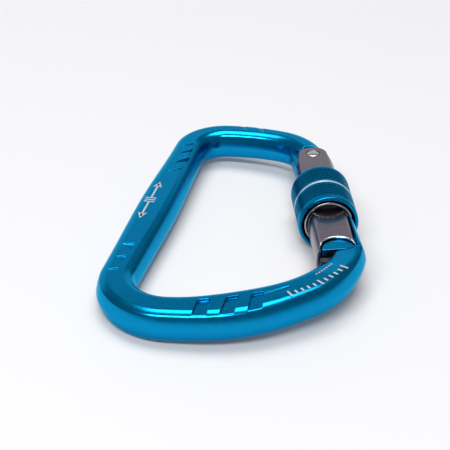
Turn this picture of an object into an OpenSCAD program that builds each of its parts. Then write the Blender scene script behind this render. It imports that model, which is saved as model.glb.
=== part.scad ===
// Large pear-shaped carabiner with a screw-lock sleeve on its gate.
// The bar lies in the XY plane, the long axis is Y, the gate side is +X.
// The origin is the centre of the overall box.

/* [Bar] */
// Thickness of the forged bar, along Z
bar_t = 9.4; // [9.2:0.1:10.4]
// Size of the bar's bevelled long edges
bar_edge = 1; // [0.8:0.05:1.1]
// Distance of the gate's axis from the middle of the box
gate_x = 29.04; // [28.9:0.02:29.2]
// Height of the hinge rivet above the middle of the box
rivet_y = 30.67; // [30.5:0.01:30.8]

/* [Gate] */
// Radius of the round gate bar before its flats are cut
gate_r = 6.3; // [6.2:0.05:6.4]
// Thickness of the gate across its two flats
gate_t = 9; // [8.8:0.1:9.2]
// Length of the gate from the rivet to its latching end
gate_len = 56.5; // [56.2:0.1:57]
// Radius of the ear's rounded end
ear_r = 4.4; // [4.2:0.1:4.6]
// Thickness of the tang that fits between the ears
tang_t = 4.4; // [4:0.1:4.6]

/* [Hinge] */
// Radius of the rivet's shank
rivet_r = 1.6; // [1.4:0.05:1.7]
// Radius of the rivet's peened heads
rivet_head_r = 1.9; // [1.8:0.05:2]

/* [Locking sleeve] */
// Outer radius of the sleeve
sleeve_r = 8.75; // [8.6:0.05:8.8]
// Length of the sleeve
sleeve_len = 19.5; // [19:0.1:20]
// Distance from the rivet to the sleeve's front rim, unlocked
sleeve_front = 36; // [35.8:0.1:36.2]
// Radius of the plain bore at the front and rear of the sleeve
sleeve_bore_r = 7.67; // [7.6:0.01:7.7]
// Radius of the gate's threaded collar
collar_r = 7; // [6.9:0.05:7.1]
// Distance of the silver ring behind the sleeve's front rim
ring_at = 10.3; // [9.8:0.1:10.8]

/* [Return spring] */
// Radius of the spring plunger
plunger_r = 2; // [1.8:0.05:2.1]
// Radius of the spring's coil, outside
spring_r = 1.8; // [1.6:0.05:1.8]
// Length of the spring with the gate closed
spring_len = 12; // [10:0.5:14]
// Number of turns in the spring
spring_turns = 9; // [7:1:11]

/* [Hidden] */
$fn = 72;
eps = 0.02;
fit = 0.05;             // running fit, radial
gap = 0.3;              // clearance between parts that only pass each other
big = 40;               // larger than any part it cuts

blue = [0, 0.45, 0.68];
gunmetal = [0.4, 0.38, 0.42];
silver = [0.8, 0.8, 0.82];
steel = [0.6, 0.6, 0.62];

// The bar from the rivet round to the nose.
// Each leg: [length, turn to the left in degrees, width at its end].
legs = [
    [17.8, 61.4, 8.8],      // hinge shoulder
    [17.2, 17.6, 9.3],      // narrow end
    [16.4, 83.4, 10.2],     // narrow end's corner
    [37.8, 0, 12.2],        // upper half of the spine
    [37.8, 0, 11.1],        // lower half of the spine
    [26, 96.3, 11.7],       // wide end's corner
    [19.3, 20.1, 13.1],     // rope basket, first half
    [19.3, 20.1, 11.6],     // rope basket, second half
    [33.6, 61.1, 8.6]       // nose corner
];
start_w = 8.8;
max_turn = 9;           // largest turn between two sections, degrees
max_step = 13;          // largest distance between two sections
// Bevelled edge of the bar: [in from its side, down from its flat]
bevel = [[0, 2.9], [0.3, 2.1], [1.35, 0.5], [1.9, 0.12], [2.7, 0]];

// Keylock, as distances from the rivet's axis along the gate
lock_in = 50.4;         // bottom of the gate's pocket
head_edge = 56;         // back edge of the nose's head
ramp_r = 12;            // hollow ramps down to the neck
arch_c = 55.5;          // centre of the round window over the head
arch_r = 4.8;
pocket_z = 3.8;         // half height of the gate's pocket
head_z = 3.65;          // half height of the nose's head
neck_z = 3;             // half height of the neck behind the head
web_z = 0.8;            // half thickness of the web across the pocket
bead_r = 1.4;           // bead along the web's end, hooked in the nose
pocket_wall = 1.4;      // inner wall of the pocket
head_r = arch_r - 0.25;

// Outer tongue of the nose, which the sleeve covers when locked
tongue_in = 5.35;       // inner face, from the gate's axis
tongue_top = 37.7;      // tip, from the rivet
tongue_tip_r = 7.05;    // outer radius at the tip
tongue_root_r = 7.7;    // outer radius at the head
tongue_z = 4.3;         // half height
nose_cut_to = 57.8;     // where the bar has narrowed inside the sleeve's reach
seat_x = 5.2;           // flat on the gate that the tongue lies against

// Fork and tang
slot_z = tang_t / 2 + 0.15;
slot_bottom = 7.6;      // from the rivet
tang_r = 4.15;           // round end of the tang
tang_flat = 4.9;        // cam flat that bears on the plunger, from the rivet
taper_len = 6;          // from the rivet to where the ears are full width
head_sink = 0.35;       // recess round the rivet's heads
rivet_half = gate_t / 2 + 0.15;

// Collar and sleeve, from the rivet
collar_front = sleeve_front;
collar_len = 17.5;
lip_r = 6.4;            // inside of the lip round the collar's hollow front
lip_depth = 1.4;
land_from = 9.5;        // sleeve's thread land, from its front rim
land_to = 17;
chamfer = 0.5;
ring_w = 0.9;
ring_depth = 0.5;
knurl_rows = 6;
knurl_pitch = 1.15;
knurl_depth = 0.35;

// Spring and plunger, from the rivet
plunger_tip = tang_flat + 0.1;
plunger_end = 12;
spring_top = plunger_end + 0.05;
spring_end = spring_top + spring_len;
wire_r = 0.25;
coil_steps = 12;        // straight pieces in each turn of the spring
coil_sides = 8;

// ---- the path of the bar -------------------------------------------------

// A place [x, y, heading] after a leg of this length and turn
function advance(p, len, turn) =
    turn == 0
    ? [p[0] + len * cos(p[2]), p[1] + len * sin(p[2]), p[2]]
    : let (r = len * 180 / (turn * PI))
      [p[0] + r * (sin(p[2] + turn) - sin(p[2])),
       p[1] - r * (cos(p[2] + turn) - cos(p[2])),
       p[2] + turn];

function leg_start(i) =
    i == 0 ? [gate_x, rivet_y, 90] : advance(leg_start(i - 1), legs[i - 1][0], legs[i - 1][1]);
function leg_width(i) = i == 0 ? start_w : legs[i - 1][2];
function leg_steps(i) = max(3, ceil(legs[i][1] / max_turn), ceil(legs[i][0] / max_step));

// Stations [place, width], with the width eased from one leg's end to the next
stations = [
    for (i = [0:len(legs) - 1])
        let (n = leg_steps(i), last = i == len(legs) - 1)
            for (k = [0:n - (last ? 0 : 1)])
                let (u = k / n, ease = (1 - cos(180 * u)) / 2)
                    [advance(leg_start(i), legs[i][0] * u, legs[i][1] * u),
                     leg_width(i) + (legs[i][2] - leg_width(i)) * ease]
];

// Outline of the bar's section, [across, up], for a bar of width w
function section(w) = [
    for (q = [0:3], k = [0:len(bevel) - 1])
        let (b = bar_edge * bevel[q % 2 == 0 ? k : len(bevel) - 1 - k])
            [(q == 0 || q == 3 ? 1 : -1) * (w / 2 - b[0]), (q < 2 ? 1 : -1) * (bar_t / 2 - b[1])]
];

module bar() {
    sides = 4 * len(bevel);
    rows = len(stations);
    points = [
        for (s = stations, p = section(s[1]))
            [s[0][0] + p[0] * sin(s[0][2]), s[0][1] - p[0] * cos(s[0][2]), p[1]]
    ];
    walls = [
        for (i = [0:rows - 2], k = [0:sides - 1])
            let (n = (k + 1) % sides)
                [i * sides + k, i * sides + n, (i + 1) * sides + n, (i + 1) * sides + k]
    ];
    polyhedron(
        points = points,
        faces = concat([[for (k = [sides - 1:-1:0]) k]], walls, [[for (k = [0:sides - 1]) (rows - 1) * sides + k]]),
        convexity = 6
    );
}

// ---- helpers ---------------------------------------------------------------

// Puts things drawn about the rivet, with the gate running along -Y, in place
module at_rivet() {
    translate([gate_x, rivet_y, 0]) children();
}

// A solid turned about the gate's axis: [radius, distance from the rivet]
module turned(profile) {
    at_rivet() rotate([90, 0, 0]) rotate_extrude() polygon(profile);
}

// A ring-shaped solid about the rivet's axis: from, to and half height
module about_rivet(from, to, half) {
    at_rivet() rotate_extrude($fn = 240) translate([from, -half]) square([to - from, 2 * half]);
}

// A box drawn about the rivet, over the whole height unless told otherwise
module block(x0, x1, from, to, z0 = -big, z1 = big) {
    at_rivet() translate([x0, -to, z0]) cube([x1 - x0, to - from, z1 - z0]);
}

// ---- body ------------------------------------------------------------------

// Middle of the hinge: fills the fork, and its flat bears on the plunger
module tang() {
    at_rivet()
        linear_extrude(tang_t, center = true) {
            circle(tang_r);
            polygon([[-6.3, 8], [-5.9, 0], [-5.7, -3.6], [-4.6, -tang_flat], [1.5, -tang_flat], [4.2, 0], [3, 8]]);
        }
}

// Head of the nose, shaped by arcs about the rivet so that the gate swings past
module nose_head() {
    intersection() {
        about_rivet(lock_in + 0.2, head_edge, head_z);
        at_rivet()
            linear_extrude(big, center = true) {
                translate([0, -arch_c]) circle(head_r);
                translate([0, -head_edge]) square([tongue_in + 1, head_edge - lock_in]);
            }
    }
}

// Flat shell on the outside of the gate, before it is turned
module tongue() {
    block(tongue_in, tongue_root_r + 1, tongue_top, head_edge - 1.5, -tongue_z, tongue_z);
}

// Space that the closed gate needs beside the tongue
module gate_space() {
    intersection() {
        about_rivet(20, head_edge - 0.3, big);
        block(-15, tongue_in + 0.2, 20, big * 2);
    }
}

// Hollow ramps that thin the bar down to the neck, above and below
module neck_ramps() {
    for (s = [-1, 1])
        translate([gate_x, rivet_y - head_edge - 2, s * (neck_z + ramp_r)])
            rotate([0, 90, 0]) cylinder(r = ramp_r, h = 30, center = true, $fn = 180);
}

// What lies outside the turned surface of the tongue
module nose_outside() {
    difference() {
        block(0, 20, 20, nose_cut_to, -10, 10);
        turned([[0, 19], [tongue_tip_r - 0.6, 19], [tongue_tip_r - 0.6, tongue_top],
            [tongue_tip_r, tongue_top + 0.6], [tongue_root_r, nose_cut_to + 1], [0, nose_cut_to + 1]]);
    }
}

// Slot for the gate's web and its bead
module web_slot() {
    intersection() {
        union() {
            about_rivet(lock_in - 1, head_edge + 0.5, web_z + 0.2);
            at_rivet()
                rotate_extrude($fn = 240) translate([head_edge + 0.5, 0]) circle(bead_r + 0.2, $fn = 36);
        }
        block(-15, seat_x + 0.4, lock_in - 2, head_edge + 3, -5, 5);
    }
}

module nose() {
    difference() {
        union() {
            difference() {
                bar();
                gate_space();
                neck_ramps();
            }
            nose_head();
            tongue();
        }
        nose_outside();
        web_slot();
    }
}

module body() {
    color(blue)
        difference() {
            union() {
                difference() {
                    nose();
                    for (s = [-1, 1])
                        at_rivet() translate([0, 0, s * (big / 2 + tang_t / 2)]) {
                            cylinder(r = ear_r + gap, h = big, center = true);
                            translate([0, 2 - big / 4, 0]) cube([big / 2, big / 2, big], center = true);
                        }
                }
                tang();
            }
            at_rivet() cylinder(r = rivet_r + fit, h = big, center = true);
        }
}

// ---- gate ------------------------------------------------------------------

// Plan of the fork end: a round end that widens to the full bar
module fork_plan() {
    tilt = atan((gate_r - ear_r) / taper_len);
    arc = [for (k = [0:24]) let (a = -tilt + (180 + 2 * tilt) * k / 24) [ear_r * cos(a), ear_r * sin(a)]];
    polygon(concat(arc, [[-gate_r - 1, -taper_len], [-gate_r - 1, -big * 2], [gate_r + 1, -big * 2],
        [gate_r + 1, -taper_len]]));
}

// Pocket that takes the nose's head, with a web left across its middle
module lock_pocket() {
    for (s = [-1, 1])
        intersection() {
            about_rivet(lock_in, gate_len + 5, pocket_z);
            block(pocket_wall - gate_r, big, lock_in - 1, gate_len + 5,
                s > 0 ? web_z : -pocket_z, s > 0 ? pocket_z : -web_z);
        }
    at_rivet()
        for (s = [-1, 1])
            translate([0, 0, s * (pocket_z - eps + big / 2)]) {
                translate([0, -arch_c, 0]) cylinder(r = arch_r, h = big, center = true);
                translate([-arch_r, -arch_c - 10, -big / 2]) cube([2 * arch_r + 2, 10, big]);
            }
}

// Rounded end of the web
module web_bead() {
    intersection() {
        at_rivet() rotate_extrude($fn = 240) translate([head_edge + 0.5, 0]) circle(bead_r, $fn = 36);
        block(pocket_wall - gate_r - eps, seat_x - 0.2, head_edge - 2, head_edge + 3);
    }
}

module gate() {
    color(gunmetal)
        difference() {
            union() {
                difference() {
                    intersection() {
                        turned([[0, -ear_r - 1], [gate_r, -ear_r - 1], [gate_r, gate_len], [0, gate_len]]);
                        block(-big, big, -big, big * 2, -gate_t / 2, gate_t / 2);
                        at_rivet() linear_extrude(big, center = true) fork_plan();
                    }
                    lock_pocket();
                    block(seat_x, big, collar_front + 0.7, gate_len + 1);
                }
                web_bead();
                turned([[0, collar_front - collar_len], [collar_r - chamfer, collar_front - collar_len],
                    [collar_r, collar_front - collar_len + chamfer], [collar_r, collar_front - chamfer / 2],
                    [collar_r - chamfer / 2, collar_front], [lip_r, collar_front],
                    [lip_r, collar_front - lip_depth], [0, collar_front - lip_depth]]);
            }
            block(-big, big, -big, slot_bottom, -slot_z, slot_z);
            turned([[0, 0], [plunger_r + fit, 0], [plunger_r + fit, spring_end], [0, spring_end]]);
            at_rivet() cylinder(r = rivet_r, h = big, center = true);
            at_rivet()
                for (s = [-1, 1])
                    translate([0, 0, s * (gate_t / 2 - head_sink + big / 2)])
                        cylinder(r = rivet_head_r + 0.15, h = big, center = true);
        }
}

// ---- hinge rivet -----------------------------------------------------------

module hinge_rivet() {
    seat = gate_t / 2 - head_sink;
    profile = [[0, -rivet_half], [rivet_head_r * 0.6, -rivet_half + 0.05], [rivet_head_r, -rivet_half + 0.25],
        [rivet_head_r, -seat], [rivet_r, -seat], [rivet_r, seat], [rivet_head_r, seat],
        [rivet_head_r, rivet_half - 0.25], [rivet_head_r * 0.6, rivet_half - 0.05], [0, rivet_half]];
    color(silver) at_rivet() rotate_extrude() polygon(profile);
}

// ---- locking sleeve --------------------------------------------------------

// Grooves of the knurl on one side of the ring, from the front rim
function knurl_grooves(from) = [
    for (k = [0:knurl_rows - 1])
        let (y = sleeve_front - from - k * knurl_pitch)
            each [[sleeve_r, y], [sleeve_r - knurl_depth, y - 0.1], [sleeve_r - knurl_depth, y - 0.35],
                [sleeve_r, y - 0.45]]
];

module locking_sleeve() {
    front = sleeve_front;
    rear = sleeve_front - sleeve_len;
    ring_y = front - ring_at;
    half = ring_w / 2 + fit;
    groove = sleeve_r - ring_depth - fit;
    outside = concat(
        [[sleeve_r - chamfer, front], [sleeve_r, front - chamfer]],
        knurl_grooves(2.2),
        [[sleeve_r, ring_y + half], [groove, ring_y + half], [groove, ring_y - half], [sleeve_r, ring_y - half]],
        knurl_grooves(ring_at + 1.2),
        [[sleeve_r, rear + chamfer], [sleeve_r - chamfer, rear]]
    );
    land_r = collar_r + fit;
    inside = [[sleeve_bore_r, rear], [sleeve_bore_r, front - land_to], [land_r, front - land_to],
        [land_r, front - land_from], [sleeve_bore_r, front - land_from], [sleeve_bore_r, front]];
    color(blue) turned(concat(outside, inside));
}

module sleeve_ring() {
    y = sleeve_front - ring_at;
    color(silver)
        turned([[sleeve_r - ring_depth, y - ring_w / 2], [sleeve_r - 0.05, y - ring_w / 2],
            [sleeve_r - 0.05, y + ring_w / 2], [sleeve_r - ring_depth, y + ring_w / 2]]);
}

// ---- return spring and plunger ---------------------------------------------

module spring_plunger() {
    c = plunger_tip + plunger_r;
    tip = [for (k = [0:9]) let (a = 10 * k) [plunger_r * sin(a), c - plunger_r * cos(a)]];
    color(steel) turned(concat(tip, [[plunger_r, plunger_end], [0, plunger_end]]));
}

// Round wire wound along the gate's axis
module gate_spring() {
    r = spring_r - wire_r;
    steps = spring_turns * coil_steps;
    pitch = (spring_len - 2 * wire_r) / spring_turns;
    slope = atan(pitch / (2 * PI * r));
    points = [
        for (i = [0:steps], k = [0:coil_sides - 1])
            let (a = 360 * i / coil_steps, b = 360 * k / coil_sides, rr = r + wire_r * cos(b))
                [rr * cos(a) + wire_r * sin(b) * sin(slope) * sin(a),
                 -(spring_top + wire_r + pitch * i / coil_steps + wire_r * sin(b) * cos(slope)),
                 rr * sin(a) - wire_r * sin(b) * sin(slope) * cos(a)]
    ];
    walls = [
        for (i = [0:steps - 1], k = [0:coil_sides - 1])
            let (n = (k + 1) % coil_sides)
                [i * coil_sides + k, i * coil_sides + n, (i + 1) * coil_sides + n, (i + 1) * coil_sides + k]
    ];
    color(steel)
        at_rivet()
            polyhedron(
                points = points,
                faces = concat([[for (k = [coil_sides - 1:-1:0]) k]], walls,
                    [[for (k = [0:coil_sides - 1]) steps * coil_sides + k]]),
                convexity = 10
            );
}

body();
gate();
hinge_rivet();
locking_sleeve();
sleeve_ring();
spring_plunger();
gate_spring();
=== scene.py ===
"""Looks of the pear-shaped screw-lock carabiner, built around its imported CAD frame."""

import math

import bmesh
import bpy
import numpy as np
from mathutils import Matrix, Vector


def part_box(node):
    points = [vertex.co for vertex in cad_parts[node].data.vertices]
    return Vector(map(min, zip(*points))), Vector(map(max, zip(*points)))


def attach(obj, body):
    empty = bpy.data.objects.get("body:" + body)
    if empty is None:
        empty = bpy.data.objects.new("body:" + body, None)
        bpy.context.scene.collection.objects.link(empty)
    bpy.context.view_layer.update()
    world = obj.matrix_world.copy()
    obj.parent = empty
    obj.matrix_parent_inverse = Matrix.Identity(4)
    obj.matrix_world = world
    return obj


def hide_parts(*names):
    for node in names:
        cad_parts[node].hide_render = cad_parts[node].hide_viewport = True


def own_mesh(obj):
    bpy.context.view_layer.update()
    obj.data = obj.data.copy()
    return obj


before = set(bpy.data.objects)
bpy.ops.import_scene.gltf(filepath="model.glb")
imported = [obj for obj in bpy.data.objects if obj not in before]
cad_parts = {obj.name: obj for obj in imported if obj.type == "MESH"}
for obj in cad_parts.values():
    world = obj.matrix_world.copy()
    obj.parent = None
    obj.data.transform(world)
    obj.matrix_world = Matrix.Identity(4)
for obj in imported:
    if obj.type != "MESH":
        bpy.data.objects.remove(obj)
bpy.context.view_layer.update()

# Shapes are worked out in millimetres, in the CAD's own frame.
MM = 0.001


def box_mm(node):
    """Lowest and highest corner of a node's CAD box, in millimetres."""
    lo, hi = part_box(node)
    return np.array(lo) / MM, np.array(hi) / MM


RIVET_LO, RIVET_HI = box_mm("hinge_rivet")
SLEEVE_LO, SLEEVE_HI = box_mm("locking_sleeve")
RING_LO, RING_HI = box_mm("sleeve_ring")
PLUNGER_LO, PLUNGER_HI = box_mm("spring_plunger")
SPRING_LO, SPRING_HI = box_mm("gate_spring")
BODY_LO, BODY_HI = box_mm("body")

GATE_X = (RIVET_LO[0] + RIVET_HI[0]) / 2
RIVET_Y = (RIVET_LO[1] + RIVET_HI[1]) / 2

BAR_HALF = BODY_HI[2]
# The bar's edges are bevelled: the bevel's slant from the flat, how far it stands off, and its softness
BEVEL = math.radians(60)
BEVEL_OFF = 4.2
EDGE_SOFT = 1.5
# The bar's path from the hinge round to the nose: length, turn in degrees and width at the end of each leg
LEGS = [
    (17.8, 61.4, 8.8),
    (17.2, 17.6, 9.3),
    (16.4, 83.4, 10.2),
    (37.8, 0, 12.2),
    (37.8, 0, 11.1),
    (26, 96.3, 11.7),
    (19.3, 20.1, 13.1),
    (19.3, 20.1, 11.6),
    (33.6, 61.1, 8.6),
]
START_WIDTH = 8.8

# In the sizes of the gate, the sleeve and the nose, names that end in AT, END, BACK or FRONT are distances
# from the rivet's axis along the gate.
# The gate's bar, and the flat on its outer side where the nose's tongue lies
GATE_R = 6.3
GATE_HALF = 4.5
GATE_END = 56.5
SEAT_X = 5.2
# Hinge end: round ears that swell to the full bar, their slot, the rivet's hole and its head's seat
EAR_R = 4.4
EAR_SWELL = 7.0
EAR_GAP = 0.3
FORK_HALF = 2.35
FORK_END = 7.6
PIN_R = 1.6
RIVET_SEAT = GATE_HALF - 0.35
RIVET_HEAD_R = 1.9
# Spring's bore
BORE_R = 2.05
BORE_END = 24.05
# Threaded collar, with a lip round its hollow front
COLLAR_R = 7.0
COLLAR_BACK = 18.5
COLLAR_FRONT = 36.0
COLLAR_BORE = 2.6
LIP_R = 6.4
LIP_DEPTH = 1.4

SLEEVE_R = SLEEVE_HI[2]
SLEEVE_BORE = 7.67
SLEEVE_FRONT = RIVET_Y - SLEEVE_LO[1]
SLEEVE_BACK = RIVET_Y - SLEEVE_HI[1]
RING_AT = RIVET_Y - (RING_LO[1] + RING_HI[1]) / 2


# ---- signed distances --------------------------------------------------------

def both(a, b, r=0.0):
    """What lies in a and in b, with the edge between them rounded."""
    if not r:
        return np.maximum(a, b)
    return np.minimum(-r, np.maximum(a, b)) + np.hypot(np.maximum(a + r, 0), np.maximum(b + r, 0))


def either(a, b, r=0.0):
    """What lies in a or in b, with the inner corner between them filled."""
    return -both(-a, -b, r)


def cut(a, b, r=0.0):
    """What lies in a but not in b."""
    return both(a, -b, r)


def between(v, lo, hi):
    """The slab where a coordinate lies between two values."""
    return np.maximum(lo - v, v - hi)


def rounded_box(u, v, half_u, half_v, r):
    u, v = np.abs(u) - (half_u - r), np.abs(v) - (half_v - r)
    return np.hypot(np.maximum(u, 0), np.maximum(v, 0)) + np.minimum(np.maximum(u, v), 0) - r


def outline(x, y, points):
    """Signed distance to a closed outline."""
    nearest = np.full(x.shape, 1e9)
    sign = np.ones(x.shape)
    for (ax, ay), (bx, by) in zip(points, points[1:] + points[:1]):
        ex, ey = bx - ax, by - ay
        wx, wy = x - ax, y - ay
        t = np.clip((wx * ex + wy * ey) / (ex * ex + ey * ey), 0, 1)
        nearest = np.minimum(nearest, np.hypot(wx - t * ex, wy - t * ey))
        above, below, left = y >= ay, y < by, ex * wy > ey * wx
        sign = np.where((above & below & left) | (~above & ~below & ~left), -sign, sign)
    return sign * nearest


# ---- the path of the bar -----------------------------------------------------

def advance(place, length, turn):
    """Place (x, y, heading) after a leg of this length that turns left by this many radians."""
    x, y, h = place
    if turn == 0:
        return x + length * math.cos(h), y + length * math.sin(h), h
    r = length / turn
    return x + r * (math.sin(h + turn) - math.sin(h)), y - r * (math.cos(h + turn) - math.cos(h)), h + turn


def placed_legs():
    """Each leg with where it starts, its length, turn and widths, then the path's end and whole length."""
    place, start, width, legs = (GATE_X, RIVET_Y, math.pi / 2), 0.0, START_WIDTH, []
    for length, turn, end_width in LEGS:
        legs.append((place, start, length, math.radians(turn), width, end_width))
        place, start, width = advance(place, length, math.radians(turn)), start + length, end_width
    return legs, place, start


PLACED, PATH_END, PATH_LENGTH = placed_legs()


def along_bar(x, y):
    """Distance along the bar, distance towards its outer side and width, at points of the plan."""
    near = np.full(x.shape, 1e9)
    s, side, width = np.zeros(x.shape), np.zeros(x.shape), np.zeros(x.shape)
    for (px, py, h), start, length, turn, w0, w1 in PLACED:
        if turn == 0:
            t = np.clip((x - px) * math.cos(h) + (y - py) * math.sin(h), 0, length)
            off = (x - px) * math.sin(h) - (y - py) * math.cos(h)
            qx, qy = px + t * math.cos(h), py + t * math.sin(h)
        else:
            r = length / turn
            cx, cy = px - r * math.sin(h), py + r * math.cos(h)
            angle = np.arctan2(y - cy, x - cx) - (h - math.pi / 2) - turn / 2
            angle = np.clip((angle + math.pi) % (2 * math.pi) - math.pi + turn / 2, 0, turn)
            t = r * angle
            off = np.hypot(x - cx, y - cy) - r
            qx, qy = cx + r * np.cos(h - math.pi / 2 + angle), cy + r * np.sin(h - math.pi / 2 + angle)
        away = np.hypot(x - qx, y - qy)
        closer = away < near
        near = np.where(closer, away, near)
        s = np.where(closer, start + t, s)
        side = np.where(closer, off, side)
        width = np.where(closer, w0 + (w1 - w0) * (1 - np.cos(math.pi * t / length)) / 2, width)
    return s, side, width


def on_bar(s, side, z):
    """The point at this distance along the bar and towards its outer side."""
    for place, start, length, turn, _, _ in PLACED:
        if s <= start + length:
            break
    share = (s - start) / length
    x, y, h = advance(place, s - start, turn * share)
    return x + side * math.sin(h), y - side * math.cos(h), z


# ---- body --------------------------------------------------------------------

# Wedge-shaped forging marks: where, from this side to that, half width, depth, slant
WEDGES = [
    (52.6, -2.0, 1.6, 0.75, 0.55, 0.75),
    (57.2, -2.5, 1.6, 0.95, 0.75, 0.75),
    (63.2, -3.0, 1.7, 1.2, 0.9, 0.75),
    (69.6, -2.4, 1.4, 0.8, 0.45, 0.75),
    (31.0, 3.2, -0.9, 0.95, 0.8, 0.6),
    (25.6, 3.0, -1.1, 1.1, 0.8, 0.6),
]
# Triangular marks: [along, side] of the corners, and depth
TRIANGLES = [
    ([(114.6, -1.2), (118.3, -1.2), (115.6, 2.3)], 0.55),
    ([(121.2, -0.7), (124.4, -0.5), (122.2, 2.0)], 0.5),
    ([(127.9, -0.1), (130.4, 0.2), (128.8, 2.4)], 0.4),
]
TRIANGLE_FADE = 3.4
# Slanted pockets: where, middle of the sides, half width, half length, slant, depth
POCKETS = [
    (162.6, 2.0, 1.75, 4.0, -0.25, 0.7),
    (169.7, 2.0, 1.75, 4.0, -0.42, 0.7),
    (176.6, 2.1, 1.75, 3.8, -0.45, 0.65),
]
# Tail mark behind the pockets: where, half length, half width, its side, slant and depth, and how it fades out
TAIL_AT = 182.5
TAIL_HALF = (5.0, 0.7)
TAIL_SIDE = -0.35
TAIL_SLANT = 0.2
TAIL_DEPTH = 0.45
TAIL_FADED = 188
TAIL_FADE = 10


def forging_marks(f, s, side, az):
    """Cuts the shallow marks into both flats of the bar."""
    top = BAR_HALF
    for at, deep, faded, half, depth, slant in WEDGES:
        share = (side - deep) / (faded - deep)
        floor = top - depth * (1 - share)
        plan = np.maximum(np.abs(s - at - slant * (side - deep)) - half * (1.05 - 0.7 * share),
                          between(side, min(deep, faded), max(deep, faded)))
        f = cut(f, both(plan, floor - az, 0.15), 0.12)
    for corners, depth in TRIANGLES:
        tilt = (side - corners[0][1]) / TRIANGLE_FADE
        f = cut(f, both(outline(s, side, corners), top - depth * (1 - 0.6 * tilt) - az, 0.12), 0.12)
    for at, middle, half, long_half, slant, depth in POCKETS:
        plan = rounded_box(s - at - slant * (side - middle), side - middle, half, long_half, 0.9)
        f = cut(f, both(plan, top - depth - az, 0.2), 0.15)
    tail = rounded_box(s - TAIL_AT - TAIL_SLANT * side, side - TAIL_SIDE, *TAIL_HALF, 0.5)
    tail_floor = top - TAIL_DEPTH * np.clip((TAIL_FADED - s) / TAIL_FADE, 0, 1)
    return cut(f, both(tail, tail_floor - az, 0.15), 0.15)


# Tang between the gate's ears, with the outline of its root and of the flat that the plunger bears on
TANG_HALF = 2.2
TANG_R = 4.15
TANG_HOLE = 1.65
TANG_PLAN = [(-6.3, 8), (-5.9, 0), (-5.7, -3.6), (-4.6, -4.9), (1.5, -4.9), (4.2, 0), (3, 8)]
# Head of the keylock nose, and the gate's arch that it shows in
LOCK_IN = 50.4
HEAD_EDGE = 56.0
HEAD_HALF = 3.65
ARCH_AT = 55.5
ARCH_R = 4.8
ARCH_GAP = 0.25
# Tongue along the gate's outer side: inner face, tip, outer radius at its tip and at its root, half height
TONGUE = (5.35, 37.7, 7.05, 7.7, 4.3)
TONGUE_END = HEAD_EDGE - 1.5
TONGUE_OUT = 8.85
# Where the bar has narrowed to what the sleeve passes over
NOSE_CUT_TO = 57.8
# How far inward from the gate's axis the nose's own cuts may reach without touching the spine
NOSE_REACH = 15
# Neck behind the head: middle of its dish, how high that starts and how fast it rises
DISH = (-4.0, 56.0)
DISH_LOW = 2.75
DISH_RISE = 0.2
NECK_FROM = 40
NECK_CUT = (48, 63)
# Neck's inner side, where it starts and how it slants, and the narrow gap along the head's edge
NECK_SIDE = (-2.1, 0.34)
GAP_TO = 4.4
GAP_WIDTH = 0.6
GAP_FLOOR = 2.5
# Web in the gate's slot, with the bead at its end, and the clearance round them
WEB_HALF = 0.8
BEAD_AT = 56.5
BEAD_R = 1.4
WEB_GAP = 0.2


def turned_limit(gd):
    """Outer radius of the nose where the sleeve passes over it."""
    _, tip, tip_r, root_r, _ = TONGUE
    slope = (root_r - tip_r) / (NOSE_CUT_TO - tip)
    chamfer = 0.6 * np.clip((tip + 0.6 - gd) / 0.6, 0, 1)
    return tip_r + slope * np.maximum(gd - tip, 0) - chamfer


def neck(f, gx, gd, az):
    """Dishes the neck behind the head and cuts it back on its inner side."""
    dish = DISH_LOW + DISH_RISE * np.hypot(gx - DISH[0], gd - DISH[1]) - az
    dished = cut(f, np.maximum(dish, np.abs(gx) - NOSE_REACH), 0.8)
    f = np.where((gd > NECK_FROM) & (gx > -NOSE_REACH), dished, f)
    aside = gx - NECK_SIDE[0] + NECK_SIDE[1] * (gd - HEAD_EDGE)
    return cut(f, np.maximum(np.maximum(aside, -NOSE_REACH - gx), between(gd, *NECK_CUT)), 0.5)


def latch_head(round_rivet, gx, gd, az):
    """The head: a round front inside the gate's arch, with a block that joins it to the tongue."""
    plan = np.minimum(np.hypot(gx, gd - ARCH_AT) - (ARCH_R - ARCH_GAP),
                      rounded_box(gx - 3.17, gd - 53.2, 3.17, 2.8, 0.01))
    return both(both(between(round_rivet, LOCK_IN + 0.2, HEAD_EDGE), az - HEAD_HALF, 0.12), plan, 0.2)


def web_slot(round_rivet, gx, gd, z, az):
    """Room in the nose for the gate's web and bead as they swing in."""
    slot = np.minimum(np.maximum(between(round_rivet, LOCK_IN - 1, BEAD_AT), az - WEB_HALF - WEB_GAP),
                      np.hypot(round_rivet - BEAD_AT, z) - BEAD_R - WEB_GAP)
    reach = np.maximum(between(gx, -NOSE_REACH, SEAT_X + 0.4), between(gd, LOCK_IN - 2, 59))
    return np.maximum(slot, reach)


def nose(f, gx, gd, z, az):
    """Turns the end of the bar into the keylock nose."""
    round_rivet = np.hypot(gx, gd)
    inner, tip, _, _, half = TONGUE
    sweep = both(between(round_rivet, 20, HEAD_EDGE - 0.3), between(gx, -NOSE_REACH, inner + 0.2), 0.25)
    f = neck(cut(f, both(sweep, 20 - gd), 0.45), gx, gd, az)
    gap = np.maximum(between(gx, -NOSE_REACH, GAP_TO), between(gd, HEAD_EDGE - 0.05, HEAD_EDGE + GAP_WIDTH))
    f = either(f, latch_head(round_rivet, gx, gd, az), 0.05)
    f = cut(f, np.maximum(gap, GAP_FLOOR - az), 0.06)
    tongue = both(np.maximum(between(gx, inner, TONGUE_OUT), between(gd, tip, TONGUE_END)), az - half, 0.4)
    f = either(f, tongue, 0.3)
    over = np.where((gx > 0) & (gd < NOSE_CUT_TO), np.hypot(gx, z) - turned_limit(gd), -5.0)
    f = both(f, over, 0.25)
    return cut(f, web_slot(round_rivet, gx, gd, z, az), 0.12)


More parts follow.
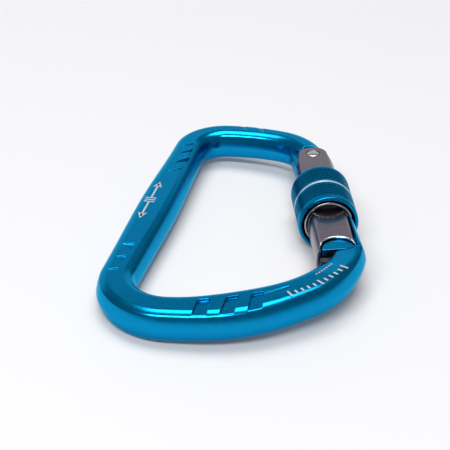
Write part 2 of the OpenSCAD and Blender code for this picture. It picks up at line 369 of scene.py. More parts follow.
def body_shape(x, y, z):
    """The whole forged bar: its bevelled section swept along the path, the marks, the nose and the tang."""
    s, side, width = along_bar(x, y)
    gx, gd, az = x - GATE_X, RIVET_Y - y, np.abs(z)
    across, up = np.abs(side) - width / 2, az - BAR_HALF
    slant = (across + BEVEL_OFF) * math.sin(BEVEL) + (up + BEVEL_OFF) * math.cos(BEVEL) - BEVEL_OFF
    f = both(both(across, slant, EDGE_SOFT), up, EDGE_SOFT)
    f = np.maximum(f, np.where(s >= PATH_LENGTH, y - PATH_END[1], -1e3))
    f = np.maximum(f, np.where(s <= 0, RIVET_Y - y, -1e3))
    f = forging_marks(f, s, side, az)
    f = nose(f, gx, gd, z, az)
    ears = np.minimum(np.hypot(gx, gd) - EAR_R - EAR_GAP, np.maximum(np.abs(gx) - 10, between(gd, -2, 18)))
    f = cut(f, np.maximum(ears, TANG_HALF - az), 0.25)
    tang = np.minimum(np.hypot(gx, gd) - TANG_R, outline(gx, -gd, TANG_PLAN))
    f = either(f, both(tang, az - TANG_HALF, 0.3), 0.3)
    return cut(f, np.hypot(gx, gd) - TANG_HOLE, 0.1)


# ---- gate --------------------------------------------------------------------

# Pocket in the latch end: half height, and the wall left on its inner side
POCKET_HALF = 3.8
POCKET_WALL = 1.4


def fork_plan(gx, gd):
    """Plan of the fork end: a round end that swells to the full bar."""
    swell = np.clip(gd / EAR_SWELL, 0, 1)
    half = EAR_R + (GATE_R - EAR_R) * swell * swell * (3 - 2 * swell)
    return np.where(gd < 0, np.hypot(gx, gd) - EAR_R, (np.abs(gx) - half) * 0.9)


def gate_shape(x, y, z):
    """The gate's bar with its fork, bore, latch pocket, arch, web and bead."""
    gx, gd, az = x - GATE_X, RIVET_Y - y, np.abs(z)
    round_rivet, round_axis = np.hypot(gx, gd), np.hypot(gx, z)
    f = both(round_axis - GATE_R, az - GATE_HALF, 0.35)
    f = both(f, fork_plan(gx, gd), 0.4)
    f = both(f, gd - GATE_END, 0.55)
    pocket = both(between(round_rivet, LOCK_IN, GATE_END + 5), between(az, WEB_HALF, POCKET_HALF), 0.25)
    f = cut(f, both(pocket, POCKET_WALL - GATE_R - gx, 0.3), 0.12)
    window = either(np.hypot(gx, gd - ARCH_AT) - ARCH_R,
                    np.maximum(between(gx, -ARCH_R, 10), between(gd, ARCH_AT, GATE_END + 9)))
    f = cut(f, np.maximum(window, POCKET_HALF - 0.02 - az), 0.4)
    f = cut(f, np.maximum(SEAT_X - gx, between(gd, COLLAR_FRONT + 0.7, GATE_END + 1)), 0.2)
    bead = np.hypot(round_rivet - BEAD_AT, z) - BEAD_R
    bead = np.maximum(bead, np.maximum(between(gx, POCKET_WALL - GATE_R, SEAT_X - 0.2), 54 - gd))
    f = either(f, bead, 0.15)
    f = cut(f, both(az - FORK_HALF, gd - FORK_END, 0.3), 0.3)
    f = cut(f, np.maximum(round_axis - BORE_R, gd - BORE_END), 0.1)
    f = cut(f, round_rivet - PIN_R, 0.05)
    return cut(f, np.maximum(round_rivet - RIVET_HEAD_R - 0.15, RIVET_SEAT - az), 0.12)


# ---- meshes from shapes ------------------------------------------------------

CORNERS = [np.array(c) for c in np.ndindex(2, 2, 2)]
EDGES = [(a, b) for a in CORNERS for b in CORNERS if (b - a).sum() == 1 and (b - a).min() == 0]


def sample(shape, lo, counts, step, block=6):
    """Values of a shape on a grid. Blocks far from its surface keep one value throughout."""
    values = np.empty(counts, np.float32)
    firsts = [np.arange(0, n, block) for n in counts]
    grid = np.stack(np.meshgrid(*firsts, indexing="ij"), -1).reshape(-1, 3)
    middle = lo + step * (grid + (block - 1) / 2)
    rough = shape(*middle.T)
    for corner, value in zip(grid, rough):
        i, j, k = corner
        values[i:i + block, j:j + block, k:k + block] = value
    near = grid[np.abs(rough) < step * block * 1.15 + 0.6]
    cells = np.stack(np.meshgrid(*[np.arange(block)] * 3, indexing="ij"), -1).reshape(-1, 3)
    for part in np.array_split(near, max(1, len(near) // 4000)):
        at = (part[:, None, :] + cells[None, :, :]).reshape(-1, 3)
        at = at[(at < counts).all(1)]
        values[tuple(at.T)] = shape(*(lo + step * at).T)
    return values


def surface_nets(values, lo, step):
    """Vertices and four-sided faces of the surface where the values change sign."""
    inside = values < 0
    cells = np.array(values.shape) - 1
    count = np.zeros(cells, np.int8)
    for c in CORNERS:
        count += inside[tuple(slice(o, o + n) for o, n in zip(c, cells))]
    active = (count > 0) & (count < 8)
    index = np.full(cells, -1, np.int64)
    index[active] = np.arange(active.sum())
    cell = np.argwhere(active)
    total, hits = np.zeros((len(cell), 3)), np.zeros(len(cell))
    for a, b in EDGES:
        va = values[tuple((cell + a).T)].astype(float)
        vb = values[tuple((cell + b).T)].astype(float)
        crosses = (va < 0) != (vb < 0)
        t = np.where(crosses, va / np.where(crosses, va - vb, 1), 0)
        total += np.where(crosses[:, None], a + (b - a) * t[:, None], 0)
        hits += crosses
    verts = lo + step * (cell + total / hits[:, None])
    faces = []
    for axis in range(3):
        u, v = (axis + 1) % 3, (axis + 2) % 3
        lower = np.take(inside, range(cells[axis]), axis)
        upper = np.take(inside, range(1, cells[axis] + 1), axis)
        at = np.argwhere(lower != upper)
        at = at[(at[:, u] > 0) & (at[:, v] > 0) & (at[:, u] < cells[u]) & (at[:, v] < cells[v])]
        outward = lower[tuple(at.T)]
        quad = []
        for du, dv in ((1, 1), (0, 1), (0, 0), (1, 0)):
            c = at.copy()
            c[:, u] -= du
            c[:, v] -= dv
            quad.append(index[tuple(c.T)])
        quad = np.stack(quad, 1)
        faces.append(np.where(outward[:, None], quad, quad[:, ::-1]))
    return verts, np.concatenate(faces)


def gradient(shape, p, h=0.03):
    """Which way and how steeply a shape's distance grows at these points."""
    parts = []
    for axis in range(3):
        d = np.zeros(3)
        d[axis] = h
        parts.append((shape(*(p + d).T) - shape(*(p - d).T)) / (2 * h))
    return np.stack(parts, 1)


def settle(shape, p, reach, rounds=3):
    """Moves points onto the surface of the shape, by no more than this reach each time."""
    for _ in range(rounds):
        g = gradient(shape, p)
        move = -shape(*p.T)[:, None] * g / np.maximum((g * g).sum(1), 0.2)[:, None]
        size = np.linalg.norm(move, axis=1)[:, None]
        p = p + move * np.minimum(1, reach / np.maximum(size, 1e-9))
    return p


def new_object(name, verts, faces):
    """A smooth-shaded object from points in millimetres."""
    mesh = bpy.data.meshes.new(name)
    mesh.from_pydata((np.asarray(verts) * MM).tolist(), [], [list(map(int, f)) for f in faces])
    mesh.polygons.foreach_set("use_smooth", np.ones(len(mesh.polygons), bool))
    mesh.update()
    obj = bpy.data.objects.new(name, mesh)
    bpy.context.scene.collection.objects.link(obj)
    return obj


def thinned(obj, share):
    """Joins faces where the surface is nearly flat until this share of them is left."""
    modifier = obj.modifiers.new("thin", "DECIMATE")
    modifier.ratio = share
    graph = bpy.context.evaluated_depsgraph_get()
    mesh = bpy.data.meshes.new_from_object(obj.evaluated_get(graph))
    obj.modifiers.clear()
    obj.data = mesh


def carved(name, shape, lo, hi, step, most_faces):
    """A finely sampled mesh of a shape, thinned, with the shape's own normals."""
    lo, hi = np.array(lo) - 2.5 * step, np.array(hi) + 2.5 * step
    counts = np.ceil((hi - lo) / step).astype(int) + 1
    verts, faces = surface_nets(sample(shape, lo, counts, step), lo, step)
    obj = new_object(name, settle(shape, verts, step / 2), faces)
    triangles = 2 * len(faces)
    if triangles > most_faces:
        thinned(obj, most_faces / triangles)
    mesh = obj.data
    flat = np.empty(len(mesh.vertices) * 3)
    mesh.vertices.foreach_get("co", flat)
    p = settle(shape, flat.reshape(-1, 3) / MM, step / 3, 2)
    mesh.vertices.foreach_set("co", (p * MM).ravel())
    normals = gradient(shape, p)
    normals /= np.maximum(np.linalg.norm(normals, axis=1), 1e-9)[:, None]
    mesh.polygons.foreach_set("use_smooth", np.ones(len(mesh.polygons), bool))
    mesh.normals_split_custom_set_from_vertices(normals.tolist())
    mesh.update()
    return obj


# ---- turned pieces -----------------------------------------------------------

def eased(points, r, steps=4):
    """A closed profile with each corner rounded by up to this radius."""
    points = [np.array(p, float) for p in points]
    out = []
    for i, p in enumerate(points):
        a, b = points[i - 1], points[(i + 1) % len(points)]
        da, db = a - p, b - p
        la, lb = np.linalg.norm(da), np.linalg.norm(db)
        if la < 1e-6 or lb < 1e-6 or p[0] < 1e-6:
            out.append(p)
            continue
        reach = min(r, la * 0.45, lb * 0.45)
        start, end = p + da / la * reach, p + db / lb * reach
        for k in range(steps + 1):
            t = k / steps
            out.append((1 - t) ** 2 * start + 2 * t * (1 - t) * p + t * t * end)
    return out


def lathe(name, profile, columns, place, relief=None, sharp=38):
    """A closed profile of (radius, distance) turned about an axis.

    columns is how many there are, evenly spaced, or a list of shares of a turn. place() puts (a, b, distance)
    in the frame, and relief() is added to the radius.
    """
    profile = np.array(profile)
    rows = len(profile)
    turn = 2 * math.pi * (np.arange(columns) / columns if isinstance(columns, int) else np.array(columns))
    columns = len(turn)
    r = np.repeat(profile[:, :1], columns, 1)
    d = np.repeat(profile[:, 1:], columns, 1)
    if relief:
        r = r + relief(r, d, turn[None, :])
    verts = place(r * np.cos(turn), r * np.sin(turn), d).reshape(-1, 3)
    faces = []
    for i in range(rows):
        j = (i + 1) % rows
        if profile[i, 0] < 1e-6 and profile[j, 0] < 1e-6:
            continue
        for k in range(columns):
            n = (k + 1) % columns
            faces.append((i * columns + k, i * columns + n, j * columns + n, j * columns + k))
    obj = new_object(name, verts, faces)
    tidy_mesh(obj, sharp)
    return obj


def tidy_mesh(obj, sharp):
    """Welds points that meet, faces the surface outward and keeps edges above this angle crisp."""
    bm = bmesh.new()
    bm.from_mesh(obj.data)
    bmesh.ops.remove_doubles(bm, verts=bm.verts, dist=1e-6)
    bmesh.ops.dissolve_degenerate(bm, edges=bm.edges, dist=1e-7)
    bmesh.ops.recalc_face_normals(bm, faces=bm.faces)
    bm.to_mesh(obj.data)
    bm.free()
    obj.data.set_sharp_from_angle(angle=math.radians(sharp))


def on_gate_axis(a, b, d):
    return np.stack([GATE_X + a, RIVET_Y - d, b + np.zeros_like(d)], -1)


def on_rivet_axis(a, b, d):
    return np.stack([GATE_X + a, RIVET_Y + b, d + np.zeros_like(a)], -1)


# Knurling: teeth round the sleeve, rows of them in each band, and the points across a tooth as shares of it
KNURL_COLUMNS = 72
KNURL_PITCH = 1.0
KNURL_ROWS = 7
KNURL_DEPTH = 0.3
COLUMN_STEPS = (0, 0.06, 0.14, 0.86, 0.94)
ROW_STEPS = (0, 0.14, 0.22, 0.78, 0.86)
KNURL_STARTS = (SLEEVE_FRONT - 2.0, RING_AT - 1.0)


def tooth(t, steps):
    """1 on a tooth's flat top, 0 in the groove between two teeth."""
    from_groove = 0.5 - np.abs((t % 1) - 0.5)
    return np.clip((from_groove - steps[1]) / (steps[2] - steps[1]), 0, 1)


def knurl(r, d, turn):
    """Depth of the grooves between the teeth, in the two bands of the sleeve."""
    rows = np.zeros_like(d)
    for start in KNURL_STARTS:
        t = (start - d) / KNURL_PITCH
        rows = np.where((t > 0) & (t < KNURL_ROWS), t, rows)
    inside_band = rows > 0
    height = np.minimum(tooth(rows, ROW_STEPS), tooth(turn * KNURL_COLUMNS / (2 * math.pi), COLUMN_STEPS))
    return np.where(inside_band & (r > SLEEVE_R - 0.01), KNURL_DEPTH * (height - 1), 0)


def sleeve_profile():
    """Section of the sleeve: the ring's groove outside, and the threaded land inside."""
    front, back = SLEEVE_FRONT, SLEEVE_BACK
    half, groove = 0.5, SLEEVE_R - 0.55
    land = COLLAR_R + 0.08
    corners = [
        (SLEEVE_R, front), (SLEEVE_R, RING_AT + half), (groove, RING_AT + half), (groove, RING_AT - half),
        (SLEEVE_R, RING_AT - half), (SLEEVE_R, back), (SLEEVE_BORE, back), (SLEEVE_BORE, front - 17),
        (land, front - 16.6), (land, front - 9.9), (SLEEVE_BORE, front - 9.5), (SLEEVE_BORE, front),
    ]
    sizes = [0.55, 0.08, 0.05, 0.05, 0.08, 0.55, 0.3, 0.1, 0.1, 0.1, 0.1, 0.3]
    out = []
    for i, (corner, size) in enumerate(zip(corners, sizes)):
        trio = [corners[i - 1], corner, corners[(i + 1) % len(corners)]]
        rounded = eased(trio, size, 5)[6:12]
        if out and abs(out[-1][0] - SLEEVE_R) < 1e-6 and abs(rounded[0][0] - SLEEVE_R) < 1e-6:
            out.extend(knurl_rows(out[-1][1], rounded[0][1]))
        out.extend(rounded)
    return out


def knurl_rows(start, end):
    """Rows of points down the outside of the sleeve, close enough to show each tooth."""
    for first in KNURL_STARTS:
        if start > first > end:
            steps = [row + share for row in range(KNURL_ROWS) for share in ROW_STEPS] + [KNURL_ROWS]
            return [np.array([SLEEVE_R, first - KNURL_PITCH * k]) for k in steps]
    return []


THREAD_PITCH = 1.0
THREAD_STARTS = 2


def thread(r, d, turn):
    """Screw thread cut in the collar, with runouts at its ends."""
    phase = d / THREAD_PITCH + turn * THREAD_STARTS / (2 * math.pi)
    wave = np.abs((phase % 1) - 0.5) * 2
    ends = np.clip((d - COLLAR_BACK - 0.5) / 0.8, 0, 1) * np.clip((COLLAR_FRONT - 1.6 - d) / 0.8, 0, 1)
    return np.where(r > COLLAR_R - 0.02, -0.34 * np.clip(1.15 * wave - 0.1, 0, 1) * ends, 0)


def collar_profile():
    """Section of the threaded collar, with rows of points close enough to show its thread."""
    hollow = COLLAR_FRONT - LIP_DEPTH
    outer = eased([(COLLAR_R, COLLAR_BACK), (COLLAR_R, COLLAR_FRONT), (LIP_R, COLLAR_FRONT), (LIP_R, hollow),
                   (COLLAR_BORE, hollow), (COLLAR_BORE, COLLAR_BACK)], 0.25)
    out = []
    for p in outer:
        if out and abs(out[-1][0] - COLLAR_R) < 1e-6 and abs(p[0] - COLLAR_R) < 1e-6:
            span = np.linspace(out[-1][1], p[1], 150)[1:-1]
            out.extend(np.array([COLLAR_R, d]) for d in span)
        out.append(p)
    return out


def spring_mesh():
    """The return spring: round wire with closed ends, wound about the gate's axis."""
    wire, turns, per_turn, sides = 0.25, 9, 40, 14
    closed = 0.75
    radius = SPRING_HI[2] - wire
    start, end = RIVET_Y - SPRING_HI[1] + wire, RIVET_Y - SPRING_LO[1] - wire
    t = np.arange(turns * per_turn + 1) / per_turn
    open_turns = turns - 2 * closed
    rise = (np.clip(t - closed, 0, open_turns) / open_turns) * (end - start - 4 * wire * closed)
    rise += 2 * wire * closed * (np.clip(t / closed, 0, 1) + np.clip((t - turns + closed) / closed, 0, 1))
    a = 2 * math.pi * t
    centre = np.stack([radius * np.cos(a), start + rise, radius * np.sin(a)], 1)
    out = np.stack([np.cos(a), np.zeros_like(a), np.sin(a)], 1)
    tangent = np.gradient(centre, axis=0)
    tangent /= np.linalg.norm(tangent, axis=1)[:, None]
    other = np.cross(tangent, out)
    b = 2 * math.pi * np.arange(sides) / sides
    ring = centre[:, None] + wire * (out[:, None] * np.cos(b)[:, None] + other[:, None] * np.sin(b)[:, None])
    verts = ring.reshape(-1, 3)
    verts = np.stack([GATE_X + verts[:, 0], RIVET_Y - verts[:, 1], verts[:, 2]], 1)
    pairs = [(k, (k + 1) % sides) for k in range(sides)]
    faces = [(i + a, i + b, i + sides + b, i + sides + a)
             for i in range(0, sides * (len(t) - 1), sides) for a, b in pairs]
    faces += [tuple(range(sides)), tuple(range(len(verts) - sides, len(verts)))]
    obj = new_object("return_spring", verts, faces)
    tidy_mesh(obj, 50)
    return obj


# ---- laser marks -------------------------------------------------------------

MARK_TOP = BAR_HALF + 0.012
MARK_UNDER = BAR_HALF - 0.03


def stroke(points, width):
    """Outline of a straight stroke between two points given along the bar."""
    (s0, a0), (s1, a1) = points
    length = math.hypot(s1 - s0, a1 - a0)
    ns, na = -(a1 - a0) / length * width / 2, (s1 - s0) / length * width / 2
    return [(s0 + ns, a0 + na), (s1 + ns, a1 + na), (s1 - ns, a1 - na), (s0 - ns, a0 - na)]


def mark_plates(name, outlines):
    """Thin plates let into the bar's flat, from outlines given along the bar."""
    verts, faces = [], []
    for points in outlines:
        n, first = len(points), len(verts)
        verts += [on_bar(s, a, MARK_TOP) for s, a in points] + [on_bar(s, a, MARK_UNDER) for s, a in points]
        faces.append([first + k for k in range(n)])
        faces.append([first + 2 * n - 1 - k for k in range(n)])
        faces += [[first + k, first + (k + 1) % n, first + n + (k + 1) % n, first + n + k] for k in range(n)]
    obj = new_object(name, verts, faces)
    tidy_mesh(obj, 20)
    return obj


def long_axis_mark():
    """A double-ended arrow with three strokes across its middle, as a plain sign for the long axis."""
    side, start, end = 1.6, 79.0, 101.0
    shafts = ((start + 1.2, 88.4), (91.6, end - 1.2))
    marks = [stroke([(a, side), (b, side)], 0.55) for a, b in shafts]
    for tip, way in ((start, 1), (end, -1)):
        marks.append([(tip, side), (tip + way * 3.4, side + 1.35), (tip + way * 2.5, side),
                      (tip + way * 3.4, side - 1.35)])
    for at in (88.9, 90.0, 91.1):
        marks.append(stroke([(at, side - 1.6), (at, side + 1.6)], 0.5))
    return marks


def scale_marks():
    """Plain bars of two lengths along the front of the bar, and a finer row beside them."""
    marks = []
    for k in range(11):
        at = 185.6 + 1.85 * k
        reach = 1.25 if k % 5 == 0 else 0.75
        marks.append(stroke([(at, 2.4 - reach), (at, 2.4 + reach)], 0.55))
    for k in range(7):
        marks.append(stroke([(196.6 + 1.1 * k, -1.2), (197.1 + 1.1 * k, -1.2)], 0.5))
    return marks


# ---- materials ---------------------------------------------------------------

class Nodes:
    """A principled material and a few short ways to wire it."""

    def __init__(self, name):
        self.material = bpy.data.materials.new(name)
        self.material.use_nodes = True
        self.tree = self.material.node_tree
        self.shader = self.tree.nodes["Principled BSDF"]
        self.coords = self.tree.nodes.new("ShaderNodeTexCoord").outputs["Object"]

    def set(self, **values):
        for key, value in values.items():
            self.shader.inputs[key.replace("_", " ")].default_value = value

    def noise(self, scale, detail):
        node = self.tree.nodes.new("ShaderNodeTexNoise")
        node.inputs["Scale"].default_value = scale
        node.inputs["Detail"].default_value = detail
        node.inputs["Roughness"].default_value = 0.55
        self.tree.links.new(self.coords, node.inputs["Vector"])
        return node.outputs["Fac"]

    def ramp(self, fac, low, high):
        """A value from low to high as the noise runs over its middle part."""
        node = self.tree.nodes.new("ShaderNodeMapRange")
        node.inputs["From Min"].default_value, node.inputs["From Max"].default_value = 0.3, 0.7
        node.inputs["To Min"].default_value, node.inputs["To Max"].default_value = low, high
        self.tree.links.new(fac, node.inputs["Value"])
        return node.outputs["Result"]

    def mixed(self, fac, a, b):
        node = self.tree.nodes.new("ShaderNodeMix")
        node.data_type = "RGBA"
        node.inputs["A"].default_value, node.inputs["B"].default_value = (*a, 1), (*b, 1)
        self.tree.links.new(fac, node.inputs["Factor"])
        return node.outputs["Result"]

    def link(self, output, name):
        self.tree.links.new(output, self.shader.inputs[name])

    def bump(self, height, strength, distance):
        node = self.tree.nodes.new("ShaderNodeBump")
        node.inputs["Strength"].default_value = strength
        node.inputs["Distance"].default_value = distance
        self.tree.links.new(height, node.inputs["Height"])
        self.link(node.outputs["Normal"], "Normal")


def metal(name, dark, light, rough, coat, grain, edge=(1, 1, 1)):
    """A finished metal: cloudy colour, uneven polish and a fine grain. edge tints its slanted reflections."""
    m = Nodes(name)
    m.set(Metallic=1.0, Specular_Tint=(*edge, 1))
    if coat:
        m.set(Coat_Weight=coat, Coat_Roughness=0.12, Coat_IOR=1.6)
    m.link(m.mixed(m.noise(90, 4), dark, light), "Base Color")
    m.link(m.ramp(m.noise(420, 5), *rough), "Roughness")
    m.bump(m.noise(9000, 2), grain, 0.00002)
    return m.material


# Anodising dyes the slanted reflections too
DYED = (0.4, 0.85, 0.95)
BLUE = metal("blue_anodised", (0.0, 0.25, 0.52), (0.0, 0.27, 0.56), (0.19, 0.26), 0.05, 0.12, DYED)
SLEEVE_BLUE = metal("sleeve_anodised", (0.0, 0.2, 0.42), (0.0, 0.22, 0.46), (0.24, 0.32), 0.04, 0.1, DYED)
# Dark blue for the knurl's grooves is painted shade, so that the grid of teeth reads
GROOVE_SHADE_BLUE = metal("groove_painted_shade", (0.0, 0.05, 0.12), (0.0, 0.06, 0.15), (0.3, 0.4), 0.0, 0.1, DYED)
RIVET_STEEL = metal("rivet_steel", (0.5, 0.49, 0.47), (0.64, 0.63, 0.6), (0.2, 0.32), 0.0, 0.12)
GUNMETAL = metal("gunmetal", (0.2, 0.175, 0.205), (0.235, 0.205, 0.24), (0.2, 0.28), 0.1, 0.15)
# Pale bare-cut metal for the edge of the gate's arch, as pale as its highlight: bare metal and painted
# highlight
CUT_AND_HIGHLIGHT = metal("bare_cut_and_highlight", (0.66, 0.64, 0.65), (0.8, 0.78, 0.79), (0.15, 0.26), 0.0, 0.1)
SILVER = metal("silver", (0.86, 0.85, 0.83), (0.97, 0.96, 0.94), (0.25, 0.4), 0.0, 0.1)
# Near-black painted shade for hollows: the gap and the neck's inner side by the nose's head, the gate's latch
# pocket and the collar's hollow front
RECESS_SHADE = metal("recess_painted_shade", (0.03, 0.028, 0.034), (0.045, 0.042, 0.05), (0.42, 0.55), 0.0, 0.1)
# Grey steel for the plunger and the spring; on the collar's lip the same grey is a painted highlight on the
# gunmetal
STEEL_AND_LIP_HIGHLIGHT = metal("steel", (0.42, 0.42, 0.43), (0.55, 0.55, 0.56), (0.2, 0.34), 0.0, 0.1)


def laser_grey():
    m = Nodes("laser_mark")
    m.set(Metallic=0.35, Specular_IOR_Level=0.4)
    m.link(m.mixed(m.noise(2500, 2), (0.42, 0.44, 0.46), (0.6, 0.62, 0.64)), "Base Color")
    m.link(m.ramp(m.noise(1500, 3), 0.45, 0.65), "Roughness")
    return m.material


def paint(obj, material):
    obj.data.materials.clear()
    obj.data.materials.append(material)


def paint_where(obj, material, test):
    """Gives faces whose middle passes the test another material."""
    obj.data.materials.append(material)
    slot = len(obj.data.materials) - 1
    for face in obj.data.polygons:
        if test(face.center / MM):
            face.material_index = slot


# ---- the pieces --------------------------------------------------------------

# Faces on the edge round the gate's arch, which get the pale metal as painted highlight
def on_window_highlight(at):
    gx, gd, az = at.x - GATE_X, RIVET_Y - at.y, abs(at.z)
    away = math.hypot(gx, gd - ARCH_AT) - ARCH_R
    return POCKET_HALF - 0.1 < az < GATE_HALF + 0.1 and gd < ARCH_AT + 1.2 and -0.3 < away < 0.4


# Faces on the collar's front lip, painted in the paler steel grey as painted highlight
def on_lip_highlight(at):
    gx, gd = at.x - GATE_X, RIVET_Y - at.y
    return gd > COLLAR_FRONT - 0.3 and math.hypot(gx, at.z) > LIP_R + 0.05


# Faces deep in the gate's latch pocket, which get painted shade
def in_shaded_pocket(at):
    gx, gd, az = at.x - GATE_X, RIVET_Y - at.y, abs(at.z)
    deep = az < POCKET_HALF + 0.05 and gx > POCKET_WALL - GATE_R - 0.1
    return LOCK_IN - 0.3 < math.hypot(gx, gd) and deep and (gd < GATE_END - 0.2 or az < 1.8)


# Faces on the walls and floors of the knurl's grooves, which get the painted shade
def in_shaded_groove(at):
    gd, r = RIVET_Y - at.y, math.hypot(at.x - GATE_X, at.z)
    knurled = any(0 < first - gd < KNURL_PITCH * KNURL_ROWS for first in KNURL_STARTS)
    return knurled and SLEEVE_R - KNURL_DEPTH - 0.05 < r < SLEEVE_R - KNURL_DEPTH * 0.3


# Faces in the collar's hollow front, round the gate's bar, which get painted shade
def in_shaded_collar(at):
    gx, gd = at.x - GATE_X, RIVET_Y - at.y
    return gd > COLLAR_FRONT - LIP_DEPTH - 0.2 and math.hypot(gx, at.z) < LIP_R + 0.06


# Faces in the narrow gap along the nose head's edge and on the neck's inner side beside it, which get painted
# shade
def in_shaded_lock(at):
    gx, gd, az = at.x - GATE_X, RIVET_Y - at.y, abs(at.z)
    beside = gx < NECK_SIDE[0] - NECK_SIDE[1] * (gd - HEAD_EDGE) + 0.3
    inside = HEAD_EDGE - 0.1 < gd < 62 and -NOSE_REACH < gx < TONGUE[0] and az < HEAD_HALF - 0.12
    return inside and (gd < HEAD_EDGE + 0.55 or (beside and az < 2.7))


# Most triangles of the body and of the gate
BODY_FACES = 190000
GATE_FACES = 150000


def build_body():
    step = 0.22
    body = carved("body_shell", body_shape, BODY_LO, BODY_HI, step, BODY_FACES)
    paint(body, BLUE)
    # The gap and the neck's side by the nose's head are painted near-black as painted shade
    paint_where(body, RECESS_SHADE, in_shaded_lock)
    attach(body, "frame")
    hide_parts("body")
    marks = mark_plates("laser_marks", long_axis_mark() + scale_marks())
    paint(marks, laser_grey())
    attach(marks, "frame")


def build_gate():
    lo = (GATE_X - GATE_R, RIVET_Y - 59, -GATE_HALF)
    hi = (GATE_X + GATE_R, RIVET_Y + EAR_R, GATE_HALF)
    gate = carved("gate_bar", gate_shape, lo, hi, 0.2, GATE_FACES)
    paint(gate, GUNMETAL)
    # The arch's edge gets pale bare metal as painted highlight
    paint_where(gate, CUT_AND_HIGHLIGHT, on_window_highlight)
    # The latch pocket's inside is painted near-black as painted shade
    paint_where(gate, RECESS_SHADE, in_shaded_pocket)
    collar = lathe("gate_thread", collar_profile(), 128, on_gate_axis, thread)
    paint(collar, GUNMETAL)
    # The collar's lip is painted steel grey as painted highlight
    paint_where(collar, STEEL_AND_LIP_HIGHLIGHT, on_lip_highlight)
    # The collar's hollow is painted near-black as painted shade
    paint_where(collar, RECESS_SHADE, in_shaded_collar)
    for piece in (gate, collar):
        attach(piece, "gate")
    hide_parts("gate")


def build_rivet():
    half, crown = RIVET_HI[2], 0.28
    bend = np.radians([90, 72, 54, 36, 18, 0])
    dome = [(RIVET_HEAD_R * math.sin(a), half - crown + crown * math.cos(a)) for a in bend]
    upper = [(PIN_R, 0), (PIN_R, RIVET_SEAT), (RIVET_HEAD_R, RIVET_SEAT)] + dome
    lower = [(r, -z) for r, z in reversed(upper[1:])]
    rivet = lathe("rivet", [(0, -half)] + lower[1:] + upper, 64, on_rivet_axis, sharp=30)
    paint(rivet, RIVET_STEEL)
    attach(rivet, "gate")
    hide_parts("hinge_rivet")


def build_sleeve():
    columns = [(column + share) / KNURL_COLUMNS for column in range(KNURL_COLUMNS) for share in COLUMN_STEPS]
    sleeve = lathe("knurled_sleeve", sleeve_profile(), columns, on_gate_axis, knurl, sharp=50)
    paint(sleeve, SLEEVE_BLUE)
    # The knurl's grooves are painted darker as painted shade
    paint_where(sleeve, GROOVE_SHADE_BLUE, in_shaded_groove)
    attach(sleeve, "sleeve")
    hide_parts("locking_sleeve")
    outer, inner, half = SLEEVE_R - 0.06, SLEEVE_R - 0.5, 0.44
    profile = eased([(outer, RING_AT + half), (outer, RING_AT - half), (inner, RING_AT - half),
                     (inner, RING_AT + half)], 0.12)
    ring = lathe("silver_ring", profile, 192, on_gate_axis)
    paint(ring, SILVER)
    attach(ring, "sleeve_slider")
    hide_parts("sleeve_ring")


def build_return():
    """The spring and the plunger that shut the gate."""
    tip, end, r = RIVET_Y - PLUNGER_HI[1], RIVET_Y - PLUNGER_LO[1], PLUNGER_HI[2]
    nose_arc = [(r * math.sin(a), tip + r - r * math.cos(a)) for a in np.radians(np.linspace(0, 90, 12))]
    plunger = lathe("plunger", nose_arc + [(r, end - 0.2), (r - 0.2, end), (0, end)], 64, on_gate_axis)
    paint(plunger, STEEL_AND_LIP_HIGHLIGHT)
    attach(plunger, "plunger")
    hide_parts("spring_plunger")
    spring = spring_mesh()
    paint(spring, STEEL_AND_LIP_HIGHLIGHT)
    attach(spring, "gate")
    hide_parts("gate_spring")
    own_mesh(spring)


build_body()
build_gate()
build_rivet()
build_sleeve()
build_return()


# ---- studio ------------------------------------------------------------------

def plain(name, colour, rough, glow):
    """A matt white or grey for the stage, which glows a little so that its shadows stay soft."""
    material = bpy.data.materials.new(name)
    material.use_nodes = True
    shader = material.node_tree.nodes["Principled BSDF"]
    shader.inputs["Base Color"].default_value = (*colour, 1)
    shader.inputs["Roughness"].default_value = rough
    shader.inputs["Specular IOR Level"].default_value = 0.2
    shader.inputs["Emission Color"].default_value = (*colour, 1)
    shader.inputs["Emission Strength"].default_value = glow
    return material


def card(name, middle, right, up, material):
    """A flat stage card given by its middle and half extents."""
    middle, right, up = Vector(middle), Vector(right), Vector(up)
    corners = [middle - right - up, middle + right - up, middle + right + up, middle - right + up]
    obj = new_object(name, np.array([list(c) for c in corners]) / MM, [(0, 1, 2, 3)])
    paint(obj, material)


def softbox(name, at, size, power):
    """A large soft lamp that points at the object."""
    data = bpy.data.lights.new(name, "AREA")
    data.shape = "RECTANGLE"
    data.size, data.size_y = size
    data.energy = power
    lamp = bpy.data.objects.new(name, data)
    lamp.location = at
    lamp.rotation_mode = "QUATERNION"
    lamp.rotation_quaternion = (-Vector(at)).to_track_quat("-Z", "Y")
    bpy.context.scene.collection.objects.link(lamp)


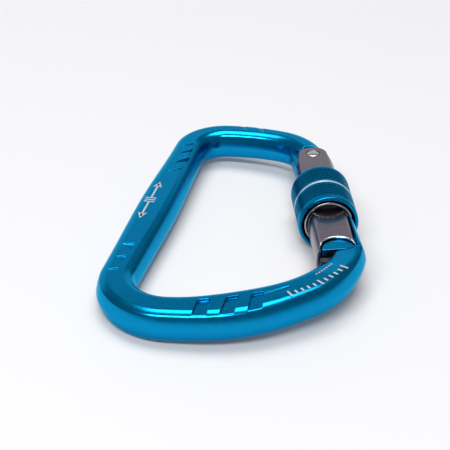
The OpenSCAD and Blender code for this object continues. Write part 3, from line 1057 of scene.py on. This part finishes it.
# The carabiner lies on its sleeve and on the far edge of its spine, so the table leans against the frame.
REST_X = -33.0
LEAN = (SLEEVE_R - BAR_HALF) / (GATE_X - REST_X)
TABLE_LOW = -SLEEVE_R * math.hypot(1, LEAN) - 0.03
TABLE_MIDDLE = TABLE_LOW + LEAN * GATE_X
TABLE_WHITE = plain("table_white", (0.735, 0.73, 0.735), 0.75, 0.06)
BACKDROP_WHITE = plain("backdrop_white", (0.8, 0.8, 0.82), 0.9, 0.55)


def place_camera(camera, elevation, azimuth, distance, roll, aside):
    """Looks at the middle of the object from this far, moved aside by this much right and up."""
    e, a, c = math.radians(elevation), math.radians(azimuth), math.radians(roll)
    back = Vector((math.sin(a) * math.cos(e), -math.cos(a) * math.cos(e), math.sin(e)))
    level = Vector((math.cos(a), math.sin(a), 0))
    rise = back.cross(level)
    right, up = level * math.cos(c) + rise * math.sin(c), rise * math.cos(c) - level * math.sin(c)
    camera.location = back * distance + right * aside[0] + up * aside[1]
    camera.rotation_mode = "QUATERNION"
    camera.rotation_quaternion = Matrix((right, up, back)).transposed().to_quaternion()


card("table", (0, 0, TABLE_MIDDLE * MM), (3, 0, -3 * LEAN), (0, 3, 0), TABLE_WHITE)
card("backdrop", (-0.5, 2.6, 0.85), (2.4, 0, 0), (0, 0, 0.85), BACKDROP_WHITE)
softbox("key", (-0.25, -0.75, 0.95), (0.9, 0.2), 10)
softbox("overhead", (0.1, 0.25, 1.3), (1.0, 0.8), 11)

world = bpy.data.worlds.new("studio")
world.use_nodes = True
world.node_tree.nodes["Background"].inputs["Color"].default_value = (0.9, 0.93, 1, 1)
world.node_tree.nodes["Background"].inputs["Strength"].default_value = 0.25
bpy.context.scene.world = world
bpy.context.scene.view_settings.view_transform = "Standard"

camera_data = bpy.data.cameras.new("camera")
camera_data.lens = 112.56
camera_data.sensor_width = 36
camera_data.clip_start = 0.01
camera_data.clip_end = 20
camera = bpy.data.objects.new("camera", camera_data)
place_camera(camera, 30.22, -3.21, 0.4085, -1.82, (-0.0005, -0.00116))
bpy.context.scene.collection.objects.link(camera)
bpy.context.scene.camera = camera
